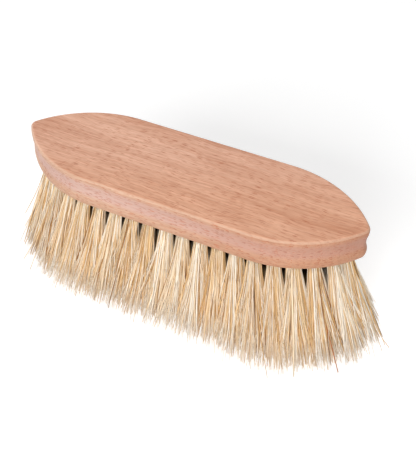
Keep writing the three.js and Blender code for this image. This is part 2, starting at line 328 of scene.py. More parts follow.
def edge_profile(block, top):
    """The moulded edge as (inset, height) points, from the top face down to the underside."""
    def quarter(x, z, across, down, start, steps):
        angles = np.linspace(start, start + math.pi / 2, steps + 1)
        return [(x + across * math.cos(a), z + down * math.sin(a)) for a in angles]

    def sweep(x0, z0, x1, z1, steps):
        """A soft turn that leaves upright and arrives upright."""
        middle = (z0 + z1) / 2
        made = []
        for t in np.linspace(0, 1, steps + 1):
            a, b, c, d = (1 - t) ** 3, 3 * t * (1 - t) ** 2, 3 * t * t * (1 - t), t**3
            made.append(((a + b) * x0 + (c + d) * x1, a * z0 + (b + c) * middle + d * z1))
        return made

    cove_z, bead_z = top - block.cove_drop, top - block.bead_drop
    foot_height = block.thickness - block.bead_drop
    ease = quarter(block.ease, top - block.ease, block.ease, block.ease, math.pi / 2, EASE_STEPS)
    cove = sweep(0, top - block.lip_drop, block.cove_depth, cove_z, COVE_STEPS)
    bead = sweep(block.cove_depth, cove_z, block.bead_inset, bead_z, BEAD_STEPS)
    foot = quarter(block.bead_inset + block.foot_width, bead_z, block.foot_width, foot_height,
                   math.pi, FOOT_STEPS)
    return ease + cove + bead[1:] + foot[1:]


def moulded_block(block, top):
    """The block before it is drilled: its edge swept round a quarter, mirrored and closed."""
    bm = bmesh.new()
    arcs = outline_arcs(block, 0)
    tip = arcs.tip_centre + arcs.tip_radius
    chain = [bm.verts.new((tip - inset, 0, z)) for inset, z in edge_profile(block, top)]
    line = chain + [bm.edges.new(pair) for pair in zip(chain, chain[1:])]
    turns = ((arcs.tip_centre, 0, arcs.tangent, TIP_STEPS),
             (arcs.straight, arcs.end_drop, math.pi / 2 - arcs.tangent, END_STEPS))
    for x, y, angle, steps in turns:
        line = bmesh.ops.spin(bm, geom=line, cent=(x, y, 0), axis=(0, 0, 1), angle=-angle,
                              steps=steps)["geom_last"]
    edges = [part for part in line if isinstance(part, bmesh.types.BMEdge)]
    side = bmesh.ops.extrude_edge_only(bm, edges=edges)["geom"]
    ends = [part for part in side if isinstance(part, bmesh.types.BMVert)]
    bmesh.ops.translate(bm, verts=ends, vec=(-arcs.straight, 0, 0))
    for axis in "XY":
        whole = bm.verts[:] + bm.edges[:] + bm.faces[:]
        bmesh.ops.mirror(bm, geom=whole, matrix=Matrix(), merge_dist=MERGE_DISTANCE, axis=axis)
    open_edges = [edge for edge in bm.edges if edge.is_boundary]
    faces = bmesh.ops.holes_fill(bm, edges=open_edges, sides=0)["faces"]
    bmesh.ops.inset_region(bm, faces=faces, thickness=SUPPORT_INSET, use_even_offset=True)
    return mesh_from(bm, "block_moulded")


def on_axis(tufts, i, rise):
    """A matrix that stands a piece on a tuft's axis: x along the wire, z up the hole."""
    wire, axis = Vector(tufts.wire[i]), Vector(tufts.axis[i])
    turn = Matrix((wire, axis.cross(wire), axis)).transposed().to_4x4()
    return Matrix.Translation(Vector(tufts.mouth[i]) + axis * rise) @ turn


def drilled(mesh, block, rows):
    """The block with a hole for each tuft."""
    bm = bmesh.new()
    depth = block.hole_depth + OVERRUN
    for tufts in rows:
        for i in range(len(tufts.mouth)):
            place = on_axis(tufts, i, (block.hole_depth - OVERRUN) / 2)
            bmesh.ops.create_cone(bm, cap_ends=True, segments=HOLE_SIDES, depth=depth, matrix=place,
                                  radius1=block.hole_diameter / 2, radius2=block.hole_diameter / 2)
    cutter = loose_object("drill", mesh_from(bm, "drill"))
    body = loose_object("block_body", mesh)
    cut = body.modifiers.new("Holes", "BOOLEAN")
    cut.operation, cut.solver, cut.object = "DIFFERENCE", "EXACT", cutter
    made = settled(body)
    bpy.data.objects.remove(cutter)
    return smoothed(made)


def anchor_rise(block, settings):
    """The height of an anchor wire's middle in its hole."""
    return block.hole_depth - WIRE_DROP - settings.anchor_height / 2


def anchor_wires(block, settings, tufts):
    """Flat wires set on edge across their holes, their corners rounded off."""
    bm = bmesh.new()
    wire_length = block.hole_diameter + 2 * settings.anchor_bite
    size = Matrix.Diagonal((wire_length, settings.anchor_thickness, settings.anchor_height, 1))
    for i in range(len(tufts.mouth)):
        place = on_axis(tufts, i, anchor_rise(block, settings)) @ size
        made = bmesh.ops.create_cube(bm, size=1, matrix=place)["verts"]
        edges = {edge for vert in made for edge in vert.link_edges}
        bmesh.ops.bevel(bm, geom=list(edges), affect="EDGES", offset=WIRE_ROUND,
                        segments=ROUND_STEPS, profile=0.5, material=-1)
    return smoothed(mesh_from(bm, "anchor_wires"))


# --- Fibres ---

# How far down each point of a fibre is, from the mouth of its hole to its tip.
FALL = np.array([0.0, 0.09, 0.25, 0.45, 0.68, 1.0])
LONG_FALL = np.concatenate([[0.0, 0.05], np.linspace(0.13, 1.0, 12)])
# How far down each level of light is reached. From 0 to 1 a fibre comes out of the deep shade, and
# from 1 to 2 it takes on the tint of its tip.
SKIN_LIGHT = ([0.0, 0.06, 0.7, 1.0], [0.8, 1.0, 1.0, 2.0])
CORE_LIGHT = ([0.0, 0.12, 0.8, 1.0], [0.5, 1.0, 1.0, 1.5])
DEEP_LIGHT = ([0.25, 0.6, 0.8, 1.0], [0.0, 1.0, 1.0, 1.7])
STRAY_LIGHT = ([0.0, 0.06], [0.8, 1.0])
# The tint ranges are partly the fibres' own and partly painted shade: the fibres under the outer
# layer and in the inner rows start past the palest tints, since the outer layers cast no shadow.
SKIN_TINTS = (0.0, 0.975)
CORE_TINTS = (0.2, 0.98)
DEEP_TINTS = (0.2, 0.97)

# One fibre. Its width takes a little of the map that holds its tint and light.
FIBRE_SIDES = 3
FIBRE_FLATNESS = 0.75
FIBRE_MAP = "FibreMap"
MAP_WIDTH = 0.0008
MAP_DIRECTION = (0.8, 0.6)

# The fold over the anchor wire: its least gap, how that and the spread along the wire grow with the
# root circle, and its crown: its drop from the hole's end, its sag, and the share of the gap there.
FOLD_GAP = 0.5 * MM
FOLD_GROWTH = 0.6
FOLD_SPREAD = 0.8
CROWN_DROP = 0.5 * MM
CROWN_SAG = 0.6 * MM
CROWN_GAP = 0.25

# The way down: how much of the opening comes at the mouth and how soon, the power of the rest, and
# the waves.
MOUTH_OPENING = 0.06
MOUTH_FALL = 0.05
OPENING_POWER = 1.5
WAVES = (0.5, 1.5)
WAVE_POWER = 0.8

# Where the tips go, along the row and away from it, as shares of the tuft's room: each on its own,
# gathered in locks, and a few wild.
LOCKS = 11
OWN_ROOM = 1.04
LOCK_ROOM = 1.1
OWN_SPREAD = [0.54, 0.17]
LOCK_SPREAD = 0.16
GATHER_SPREAD = 0.22
MOST_GATHER = 0.95
WILD_SHARE = 0.08
WILD_SPREAD = [0.9, 0.22]
# How far a tip may be from its tuft's middle.
REACH = np.array([1.7, 1.25])
# How high they end: ragged by lock and by fibre, a few much shorter, all clear of the floor.
LOCK_RAGGED = 0.8
OWN_RAGGED = 0.7
SHORT_SHARE = 0.05
SHORT_MM = 7
FLOOR_GAP = 0.3 * MM
# Waves, thickness along the path, and how much the radii differ.
TUFT_WAVE = 0.8 * MM
TUFT_TAPER = ([0, 2, 6, 7], [0.7, 1, 1.3, 0.5])
TUFT_RADII = 0.38
# A tint is partly the fibre's own and partly its lock's, and a few have the last one.
OWN_TINT = 0.82
LOCK_TINT = 0.18
RARE_SHARE = 0.0012
RARE_TINT = 0.995

# The strays: the spread and limit of their tips along the row, the middle and spread away from it,
# the least height and its range, and then their looks.
STRAY_ALONG = 1.3
STRAY_LIMIT = 2.6
STRAY_AWAY = 0.88
STRAY_AWAY_SPREAD = 0.15
STRAY_LEAST_MM = 1.2
STRAY_RANGE_MM = 16
STRAY_TINTS = 0.5
STRAY_WAVE = 0.9 * MM
STRAY_RADIUS = 0.9
STRAY_RADII = 0.2
STRAY_TAPER = [0.7, 1, 0.5]
# Strays that stand out in the photograph: the tuft of the outer row, the tip along the row and away
# from it as shares of the tuft's room, the tip's height in mm, the tint, the radius in mm, and the
# root's place away from the row as a share of the hole. Along the row their roots are closer in.
CHOSEN_STRAYS = (
    (10, -1.15, 1.86, 5, 0.8, 0.44, 0.5), (10, -1.3, 1.8, 6, 0.75, 0.4, 0.6),
    (8, 0.74, 1.28, 1.5, 0.995, 0.7, -0.9), (9, 2.03, 1.0, 12, 0.1, 0.24, 0.9),
    (30, 0.65, 1.6, 8, 0.6, 0.42, 0.8), (31, -0.5, 1.62, 4, 0.7, 0.44, 0.7),
    (30, -0.65, 1.65, 14, 0.6, 0.4, 0.9), (29, 0.3, 1.7, 12, 0.65, 0.4, 0.8),
    (31, 0.6, 1.5, 2, 0.6, 0.42, 0.7),
)
CHOSEN_CLOSER = 0.3

TUFT_SEED = 11
STRAY_SEED = 5


def one_fibre(points):
    """A straight fibre up z from 0 to 1, cut by a ring at each point of its path."""
    bm = bmesh.new()
    bmesh.ops.create_cone(bm, cap_ends=True, segments=FIBRE_SIDES, radius1=1, radius2=1, depth=1,
                          matrix=Matrix.Translation((0, 0, 0.5)))
    for i in range(1, points - 1):
        bmesh.ops.bisect_plane(bm, geom=bm.verts[:] + bm.edges[:] + bm.faces[:],
                               plane_co=(0, 0, i / (points - 1)), plane_no=(0, 0, 1))
    across = bm.loops.layers.uv.new(FIBRE_MAP)
    for face in bm.faces:
        face.smooth = True
        for loop in face.loops:
            x, y, z = loop.vert.co
            loop[across].uv = (MAP_DIRECTION[0] * x + MAP_DIRECTION[1] * y, z)
    return mesh_from(bm, "fibre")


def values_of(parts, name, size):
    """A value of each part of a mesh, as rows."""
    flat = np.empty(len(parts) * size)
    parts.foreach_get(name, flat)
    return flat.reshape(-1, size)


def fibre_mesh(name, paths, radii, tints, light):
    """Copies of one fibre, each bent along its own path. The map holds the tint and the light."""
    count, points, _ = paths.shape
    made = loose_object(name, one_fibre(points))
    shape = values_of(made.data.vertices, "co", 3)
    across = values_of(made.data.uv_layers[0].uv, "vector", 2)
    copies = made.modifiers.new("Copies", "ARRAY")
    copies.count = count
    copies.use_relative_offset = False
    mesh = settled(made)
    mesh.name = name

    ring = np.rint(shape[:, 2] * (points - 1)).astype(int)
    along = unit(np.gradient(paths, axis=1))
    middle = along[:, points // 2]
    least = np.eye(3)[np.abs(middle).argmin(1)]
    side = unit(np.cross(along, least[:, None]))
    other = np.cross(along, side)
    x, y = shape[:, 0, None], FIBRE_FLATNESS * shape[:, 1, None]
    place = paths[:, ring] + radii[:, ring, None] * (x * side[:, ring] + y * other[:, ring])
    mesh.vertices.foreach_set("co", place.ravel())
    step = np.rint(across[:, 1] * (points - 1)).astype(int)
    tint = tints[:, None] + MAP_WIDTH * across[None, :, 0]
    mapped = np.stack([tint, light[step] * np.ones_like(tint)], 2)
    mesh.uv_layers[0].uv.foreach_set("vector", mapped.ravel())
    mesh.update()
    return mesh


def disc(rng, *shape):
    """Points spread evenly over a circle of radius 1."""
    reach, angle = np.sqrt(rng.random(shape)), rng.random(shape) * 2 * math.pi
    return np.stack([reach * np.cos(angle), reach * np.sin(angle)], -1)


def root_points(block, settings, tufts, which, root):
    """The fold over the anchor wire and the level beside it, for each fibre."""
    rise = anchor_rise(block, settings)
    axis, wire = tufts.axis[which], tufts.wire[which]
    mouth = tufts.mouth[which]
    beside = np.cross(axis, wire)
    leg = np.where(root[:, 1] < 0, -1.0, 1.0) * np.sign((beside * tufts.away[which]).sum(1))
    gap = leg * (FOLD_GAP + FOLD_GROWTH * settings.root_circle * np.abs(root[:, 1]))
    spread = FOLD_SPREAD * settings.root_circle * root[:, 0]
    shoulder = mouth + axis * rise + wire * spread[:, None] + beside * gap[:, None]
    crown_rise = block.hole_depth - CROWN_DROP - CROWN_SAG * np.abs(root[:, 1])
    crown = mouth + axis * crown_rise[:, None] + wire * spread[:, None]
    crown = crown + beside * (CROWN_GAP * gap)[:, None]
    return np.stack([crown, shoulder], 1)


def fall_points(settings, tufts, which, root, tip, fall, rng, wave):
    """The part below the block: from the mouth along the tuft's axis, opening towards the tip. The
    tips come from an oval round the hole, which the fan opens on the way down."""
    count = len(which)
    along, away = tufts.along[which], tufts.away[which]
    axis, mouth = tufts.axis[which], tufts.mouth[which]
    drop = mouth[:, 2:]
    straight = mouth - axis * drop / axis[:, 2:]

    def beside(offset):
        return along * offset[:, :1] + away * offset[:, 1:]

    start = beside(settings.root_circle * root)
    room = mouth + beside(tip * [settings.room_along, settings.room_away])
    end = room + fan_at(room, bent=True) * drop - straight
    opening = MOUTH_OPENING * (1 - np.exp(-fall / MOUTH_FALL))
    opening = opening + (1 - MOUTH_OPENING) * fall**OPENING_POWER
    line = mouth[:, None] + (straight - mouth)[:, None] * fall[None, :, None]
    line = line + start[:, None] + (end - start)[:, None] * opening[None, :, None]
    phase = rng.random((count, 1, 2)) * 2 * math.pi
    waves = rng.uniform(*WAVES, (count, 1, 2))
    bend = wave * rng.normal(0, 1, (count, 1, 2)) * fall[None, :, None] ** WAVE_POWER
    bend = bend * np.sin(2 * math.pi * waves * fall[None, :, None] + phase)
    return line + along[:, None] * bend[..., :1] + away[:, None] * bend[..., 1:]


def cut_level(paths, levels):
    """Each path shortened along itself so that its tip ends at its own level."""
    top = paths[:, :1, 2]
    scale = (top - levels[:, None]) / (top - paths[:, -1:, 2])
    return paths[:, :1] + (paths - paths[:, :1]) * scale[..., None]


def tip_places(settings, root, locks, own_lock, rng):
    """Where tips go: each to its own place, drawn towards its lock, and a few gone wild."""
    count = len(root)
    lock_push = rng.normal(0, LOCK_SPREAD, locks.shape)[own_lock]
    own = root * OWN_ROOM + rng.normal(0, 1, (count, 2)) * OWN_SPREAD
    gather = (settings.gather + rng.normal(0, GATHER_SPREAD, count)).clip(0, MOST_GATHER)
    tip = own + (LOCK_ROOM * locks[own_lock] + lock_push - own) * gather[:, None]
    wild = rng.random(count) < WILD_SHARE
    tip[wild] += rng.normal(0, 1, (wild.sum(), 2)) * WILD_SPREAD
    return tip.clip(-REACH, REACH)


def tip_levels(settings, lock_level, rng):
    """How high above the floor each tip ends."""
    count = len(lock_level)
    level = settings.ragged * (LOCK_RAGGED * lock_level + np.abs(rng.normal(0, OWN_RAGGED, count)))
    short = rng.random(count) < SHORT_SHARE
    level[short] += rng.random(short.sum()) * SHORT_MM * MM
    return level + FLOOR_GAP


def tuft_fibres(block, settings, tufts, count, tint_range, rng):
    """The paths, radii and tints of a row's fibres, gathered in locks."""
    tuft_count = len(tufts.mouth)
    which = np.repeat(np.arange(tuft_count), count)
    total = len(which)
    root = disc(rng, total)
    locks = disc(rng, tuft_count, LOCKS)
    own_lock = which, np.linalg.norm(root[:, None] - locks[which], axis=2).argmin(1)
    tip = tip_places(settings, root, locks, own_lock, rng)
    below = fall_points(settings, tufts, which, root, tip, FALL, rng, TUFT_WAVE)
    lock_level = rng.random((tuft_count, LOCKS))[own_lock]
    below = cut_level(below, tip_levels(settings, lock_level, rng))
    paths = np.concatenate([root_points(block, settings, tufts, which, root), below], 1)
    taper = np.interp(np.arange(paths.shape[1]), *TUFT_TAPER)
    radii = settings.fibre_radius * rng.lognormal(0, TUFT_RADII, total)[:, None] * taper
    lock_tint = rng.random((tuft_count, LOCKS))[own_lock]
    tints = np.interp(OWN_TINT * rng.random(total) + LOCK_TINT * lock_tint, [0, 1], tint_range)
    tints[rng.random(total) < RARE_SHARE] = RARE_TINT
    return paths, radii, tints


def stray_fibres(block, settings, outer, rng):
    """The paths, radii and tints of the strays: random ones, and then the chosen ones."""
    count = settings.stray_fibres
    tuft, along, away, level_mm, tint, radius_mm, root_away = np.array(CHOSEN_STRAYS).T
    which = np.concatenate([rng.integers(0, len(outer.mouth), count), tuft.astype(int)])
    tip = np.stack([rng.normal(0, STRAY_ALONG, count).clip(-STRAY_LIMIT, STRAY_LIMIT),
                    STRAY_AWAY + rng.normal(0, STRAY_AWAY_SPREAD, count)], 1)
    tip = np.concatenate([tip, np.stack([along, away], 1)])
    level = np.concatenate([STRAY_LEAST_MM + rng.random(count) * STRAY_RANGE_MM, level_mm])
    tints = np.concatenate([rng.random(count) * STRAY_TINTS, tint])
    root = disc(rng, len(which))
    root[:, 1] = np.abs(root[:, 1])
    root[count:, 1] = root_away
    root[count:, 0] *= CHOSEN_CLOSER
    below = fall_points(settings, outer, which, root, tip, LONG_FALL, rng, STRAY_WAVE)
    below = cut_level(below, level * MM)
    paths = np.concatenate([root_points(block, settings, outer, which, root), below], 1)
    last = paths.shape[1] - 1
    taper = np.interp(np.arange(last + 1), [0, 2, last], STRAY_TAPER)
    radii = STRAY_RADIUS * settings.fibre_radius * rng.lognormal(0, STRAY_RADII, len(which))
    radii[count:] = radius_mm * MM
    return paths, radii[:, None] * taper, tints


def openness(fall, levels):
    """The light at each point of a path: none at the two in the hole, and then down to the tip."""
    return np.concatenate([[0.0, 0.0], np.interp(fall, *levels)])


# --- Materials ---

# Streaks: how fine along x, y and z, their detail, and the noise where they begin and end.
WOOD_BANDS = ((8, 60, 45), 2.0, 0.3, 0.7)
WOOD_LINES = ((40, 950, 850), 3.0, 0.25, 0.75)
WOOD_HAIRS = ((60, 1700, 1700), 2.0, 0.3, 0.7)
FIBRE_STREAKS = ((900, 5, 1), 2.0, 0.25, 0.75)
WIRE_LINES = ((300, 300, 6000), 3.0, 0.3, 0.7)
STREAK_ROUGHNESS = 0.55
# Dashes: how fine along x, y and z, the share that is kept, and their size. The core is full.
WOOD_PORES = ((150, 2100, 2100), 1.0, 0.42)
WOOD_RAYS = ((320, 300, 900), 0.5, 0.44)
DASH_CORE = 0.45
# Each ray fleck is hollowed by a smaller one beside it.
HOLLOW_SHIFT = (0.1, 0, 0.22)
HOLLOW_SIZE = 0.36
HOLLOW_STRENGTH = 0.7

# The grain wanders: the scale of each wave and how far it pushes.
WANDERS = ((17.0, (0, 7 * MM, 5 * MM)), (70.0, (0, 1.8 * MM, 1.4 * MM)))
# Painted shade: where the side gets darker and warmer along its length, and the top along a slant,
# standing in for light that falls cooler from the left.
SIDE_PAINTED_SHADE_RANGE = (-50 * MM, 115 * MM)
TOP_PAINTED_SHADE_RANGE = (-60 * MM, 90 * MM)
TOP_PAINTED_SHADE_SLANT = -3.0
# The upward part of the normal where the side turns into the top.
FACING_UP = (0.55, 0.99)
# The painted sheen in the cove, a cool reflection in its upper part, by drops from the top.
COVE_SHEEN_IN = (14 * MM, 10.5 * MM)
COVE_SHEEN_OUT = (5 * MM, 1.5 * MM)
COVE_SHEEN_STRENGTH = 0.6
# The painted highlight on the rounded edge, by drops from the top and by the normal.
EDGE_HIGHLIGHT_IN = (1.3 * MM, 0.9 * MM)
EDGE_HIGHLIGHT_OUT = (0.9, 0.995)
EDGE_HIGHLIGHT_STRENGTH = 0.45
PORE_STRENGTH = (0.2, 1.0)
RAY_STRENGTH = 0.75
# What fine streaks do to a finish, from the darkest to the lightest.
WOOD_GLOW = (0.95, 1.04)
WOOD_ROUGHNESS = (0.46, 0.58)
WOOD_RELIEF = 0.25
WOOD_BUMP = {"Strength": 0.35, "Distance": 0.12 * MM}
WOOD_SHINE = 0.35
FIBRE_GLOW = (0.84, 1.1)
FIBRE_ROUGHNESS = (0.62, 0.45)
FIBRE_SHINE = 0.3
FIBRE_TIP_TINT = 0.35
WIRE_DULL = 0.7
WIRE_ROUGHNESS = (0.45, 0.3)
WIRE_BUMP = {"Strength": 0.2, "Distance": 0.02 * MM}


class Tree:
    """Adds nodes to one node tree and links them."""

    def __init__(self, tree):
        self.tree = tree

    def feed(self, node, inputs):
        """Give inputs of a node their values or their links."""
        for name, value in inputs.items():
            if isinstance(value, bpy.types.NodeSocket):
                self.tree.links.new(value, node.inputs[name])
            else:
                node.inputs[name].default_value = value

    def add(self, kind, inputs=None, **settings):
        node = self.tree.nodes.new("ShaderNode" + kind)
        for name, value in settings.items():
            setattr(node, name, value)
        self.feed(node, inputs or {})
        return node

    def math(self, operation, a, b=0.0, c=0.0):
        return self.add("Math", {0: a, 1: b, 2: c}, operation=operation).outputs[0]

    def mix(self, factor, a, b, blend="MIX"):
        a, b = ((*c, 1) if isinstance(c, tuple) else c for c in (a, b))
        made = self.add("Mix", {0: factor, 6: a, 7: b}, data_type="RGBA", blend_type=blend)
        return made.outputs[2]

    def remap(self, value, low, high, start=0.0, stop=1.0):
        names = {"Value": value, "From Min": low, "From Max": high, "To Min": start, "To Max": stop}
        return self.add("MapRange", names, interpolation_type="SMOOTHSTEP").outputs["Result"]

    def between(self, value, ends):
        """A value from 0 to 1 as one between two ends."""
        return self.remap(value, 0.0, 1.0, *ends)

    def scaled(self, vector, scale):
        return self.add("VectorMath", {0: vector, 1: scale}, operation="MULTIPLY").outputs[0]

    def streaks(self, group, place, scale, detail, low, high):
        """The streaks group on a place, as its value."""
        inputs = {"Vector": self.scaled(place, scale), "Detail": detail, "Low": low, "High": high}
        return self.add("Group", inputs, node_tree=group).outputs["Value"]

    def dashes(self, group, vector, kept, size):
        """The dashes group on a scaled vector, as its mask and shade."""
        inputs = {"Vector": vector, "Share": kept, "Size": size}
        return self.add("Group", inputs, node_tree=group).outputs


def new_group(name, values, results):
    """A shader group from a vector and some values to results: its tree and its two ends."""
    group = bpy.data.node_groups.new(name, "ShaderNodeTree")
    new_socket = group.interface.new_socket
    new_socket(name="Vector", in_out="INPUT", socket_type="NodeSocketVector")
    for value, default in values.items():
        socket = new_socket(name=value, in_out="INPUT", socket_type="NodeSocketFloat")
        socket.default_value = default
    for result in results:
        new_socket(name=result, in_out="OUTPUT", socket_type="NodeSocketFloat")
    given = group.nodes.new("NodeGroupInput").outputs
    return Tree(group), given, group.nodes.new("NodeGroupOutput")


def streaks_group():
    """A shader group: soft streaks along a stretched vector, as a value from 0 to 1."""
    tree, given, result = new_group("Streaks", {"Detail": 2, "Low": 0.3, "High": 0.7}, ["Value"])
    noise = tree.add("TexNoise", {"Vector": given["Vector"], "Detail": given["Detail"],
                                  "Scale": 1.0, "Roughness": STREAK_ROUGHNESS})
    tree.feed(result, {"Value": tree.remap(noise.outputs[0], given["Low"], given["High"])})
    return tree.tree


def dashes_group():
    """A shader group: short dashes along a stretched vector, as a mask and their shades."""
    tree, given, result = new_group("Dashes", {"Share": 0.5, "Size": 0.3}, ["Mask", "Shade"])
    cells = tree.add("TexVoronoi", {"Vector": given["Vector"], "Scale": 1.0})
    shade = tree.add("SeparateColor", {0: cells.outputs["Color"]}).outputs[0]
    inner = tree.math("MULTIPLY", given["Size"], DASH_CORE)
    near = tree.remap(cells.outputs["Distance"], inner, given["Size"], 1.0, 0.0)
    kept = tree.math("LESS_THAN", shade, given["Share"])
    tree.feed(result, {"Mask": tree.math("MULTIPLY", near, kept), "Shade": shade})
    return tree.tree


def new_material(name):
    material = bpy.data.materials.new(name)
    material.use_nodes = True
    tree = Tree(material.node_tree)
    return material, tree, material.node_tree.nodes["Principled BSDF"]


def ray_flecks(tree, dashes, place):
    """The mask of the ray flecks: dashes with one side hollowed out."""
    scale, kept, size = WOOD_RAYS
    spot = tree.scaled(place, scale)
    behind = tree.add("VectorMath", {0: spot, 1: HOLLOW_SHIFT}, operation="ADD").outputs[0]
    full = tree.dashes(dashes, spot, kept, size)["Mask"]
    hollow = tree.dashes(dashes, behind, kept, HOLLOW_SIZE)["Mask"]
    left = tree.math("SUBTRACT", full, tree.math("MULTIPLY", hollow, HOLLOW_STRENGTH))
    return tree.math("MAXIMUM", left, 0.0)


def beech_material(block, top, streaks, dashes):
    """Sanded beech: soft bands, fine pores along the length and ray flecks on the moulded side,
    with painted shade towards the right end, a painted sheen in the cove and a painted highlight on
    the rounded edge.
    """
    material, tree, shader = new_material("sanded_beech")
    straight = tree.add("TexCoord").outputs["Object"]
    place = straight
    for scale, push in WANDERS:
        wander = tree.add("TexNoise", {"Vector": straight, "Scale": scale, "Detail": 1.0})
        place = tree.add("VectorMath", {0: wander.outputs["Color"], 1: push, 2: place},
                         operation="MULTIPLY_ADD").outputs[0]
    broad, lines, hairs = (tree.streaks(streaks, place, *kind)
                           for kind in (WOOD_BANDS, WOOD_LINES, WOOD_HAIRS))
    bands = tree.math("MULTIPLY_ADD", broad, 0.5, tree.math("MULTIPLY", lines, 0.5))
    along, across, height = tree.add("SeparateXYZ", {0: straight}).outputs
    normal = tree.add("SeparateXYZ", {0: tree.add("NewGeometry").outputs["Normal"]}).outputs[2]

    def under_top(drops, start=0.0, stop=1.0):
        return tree.remap(height, top - drops[0], top - drops[1], start, stop)

    face = tree.mix(bands, block.face_dark[:], block.face_light[:])
    # Painted shade on the top: darker and warmer towards the near right.
    near = tree.remap(tree.math("MULTIPLY_ADD", across, TOP_PAINTED_SHADE_SLANT, along), *TOP_PAINTED_SHADE_RANGE)
    face = tree.mix(near, face, block.face_painted_shade[:], "MULTIPLY")
    side = tree.mix(bands, block.side_dark[:], block.side_light[:])
    # Painted reflection: a cool sheen mixed into the upper part of the cove.
    cove = tree.math("MULTIPLY", under_top(COVE_SHEEN_IN), under_top(COVE_SHEEN_OUT, 1.0, 0.0))
    side = tree.mix(tree.math("MULTIPLY", cove, COVE_SHEEN_STRENGTH), side, block.cove_painted_sheen[:])
    # Painted shade on the side: darker and warmer towards the right end.
    side = tree.mix(tree.remap(along, *SIDE_PAINTED_SHADE_RANGE), side, block.side_painted_shade[:], "MULTIPLY")
    upward = tree.remap(normal, *FACING_UP)
    wood = tree.mix(upward, side, face)

    sideways = tree.math("SUBTRACT", 1.0, upward)
    rays = tree.math("MULTIPLY", ray_flecks(tree, dashes, place), sideways)
    wood = tree.mix(tree.math("MULTIPLY", rays, RAY_STRENGTH), wood, block.fleck[:])
    scale, kept, size = WOOD_PORES
    pores = tree.dashes(dashes, tree.scaled(place, scale), kept, size)
    strength = tree.remap(pores["Shade"], *PORE_STRENGTH, *PORE_STRENGTH)
    mark = tree.math("MULTIPLY", pores["Mask"], strength)
    wood = tree.mix(mark, wood, block.pore[:])
    wood = tree.mix(1.0, wood, tree.between(hairs, WOOD_GLOW), "MULTIPLY")
    # Painted highlight: a pale line along the rounded upper edge.
    edge = tree.math("MULTIPLY", under_top(EDGE_HIGHLIGHT_IN), tree.remap(normal, *EDGE_HIGHLIGHT_OUT, 1.0, 0.0))
    wood = tree.mix(tree.math("MULTIPLY", edge, EDGE_HIGHLIGHT_STRENGTH), wood, block.side_light[:])

    relief = tree.math("SUBTRACT", tree.math("MULTIPLY", hairs, WOOD_RELIEF), mark)
    tree.feed(shader, {"Base Color": wood, "Roughness": tree.between(hairs, WOOD_ROUGHNESS),
                       "Normal": tree.add("Bump", {"Height": relief, **WOOD_BUMP}).outputs[0],
                       "Specular IOR Level": WOOD_SHINE})
    return material


def fibre_material(settings, streaks):
    """Stiff plant fibre, each strand with its own tint from ivory to brown that is partly painted
    shade, fading to painted shade near the roots and deep between the tufts.
    """
    material, tree, shader = new_material("plant_fibre")
    place = tree.add("UVMap", uv_map=FIBRE_MAP).outputs[0]
    tint, light, _ = tree.add("SeparateXYZ", {0: place}).outputs
    ramp = tree.add("ValToRGB", {0: tint})
    # The darker end of the ramp, honey and umber, is partly the fibres' own tone and partly painted
    # shade between the fibres.
    stops = ((0.0, settings.ivory), (0.2, settings.ivory), (0.5, settings.cream),
             (0.72, settings.straw), (0.86, settings.honey), (0.96, settings.umber),
             (0.99, settings.russet))
    elements = ramp.color_ramp.elements
    while len(elements) < len(stops):
        elements.new(0.5)
    for element, (position, rgb) in zip(elements, stops):
        element.position = position
        element.color = (*rgb, 1)
    streak = tree.streaks(streaks, place, *FIBRE_STREAKS)
    fibre = tree.mix(1.0, ramp.outputs[0], tree.between(streak, FIBRE_GLOW), "MULTIPLY")
    fibre = tree.mix(tree.remap(light, 1.0, 2.0, 0.0, FIBRE_TIP_TINT), fibre, settings.tip[:])
    # Painted shade: where the map's light is below 1, the fibre fades to the deep colour and loses
    # its shine.
    lit = tree.math("MINIMUM", light, 1.0)
    tree.feed(shader, {"Base Color": tree.mix(lit, settings.deep[:], fibre),
                       "Roughness": tree.between(streak, FIBRE_ROUGHNESS),
                       "Specular IOR Level": tree.math("MULTIPLY", lit, FIBRE_SHINE)})
    return material


def steel_material(settings, streaks):
    """Drawn flat wire: fine lines along its length and a dull shine."""
    material, tree, shader = new_material("drawn_steel")
    lines = tree.streaks(streaks, tree.add("TexCoord").outputs["Object"], *WIRE_LINES)
    dull = tuple(WIRE_DULL * c for c in settings.steel)
    tree.feed(shader, {"Base Color": tree.mix(lines, dull, settings.steel[:]),
                       "Roughness": tree.between(lines, WIRE_ROUGHNESS), "Metallic": 1.0,
                       "Normal": tree.add("Bump", {"Height": lines, **WIRE_BUMP}).outputs[0]})
    return material


def shared_group(name, build):
    """A node group that is built the first time it is asked for."""
    return bpy.data.node_groups.get(name) or build()


def fibre_finish(settings):
    """The fibre material, built once."""
    found = bpy.data.materials.get("plant_fibre")
    return found or fibre_material(settings, shared_group("Streaks", streaks_group))


# --- Operators ---

def settings_of(context):
    scene = context.scene
    return scene.brush_block, scene.brush_tufts, scene.brush_studio


class BRUSH_OT_block(bpy.types.Operator):
    """Make the drilled and moulded beech block"""

    bl_idname = "dusting_brush.block"
    bl_label = "Block"

    def execute(self, context):
        block, tufts, _ = settings_of(context)
        top = tufts.bristle_length + block.thickness
        rows = all_rows(block, tufts.bristle_length)
        mesh = drilled(moulded_block(block, top), block, rows.values())
        if len(mesh.polygons) < LEAST_FACES:
            raise RuntimeError("the block came out empty")
        material = beech_material(block, top, shared_group("Streaks", streaks_group),
                                  shared_group("Dashes", dashes_group))
        mesh.name = "block_wood"
        new_piece("block_wood", mesh, material, "beech", "block")
        return {"FINISHED"}


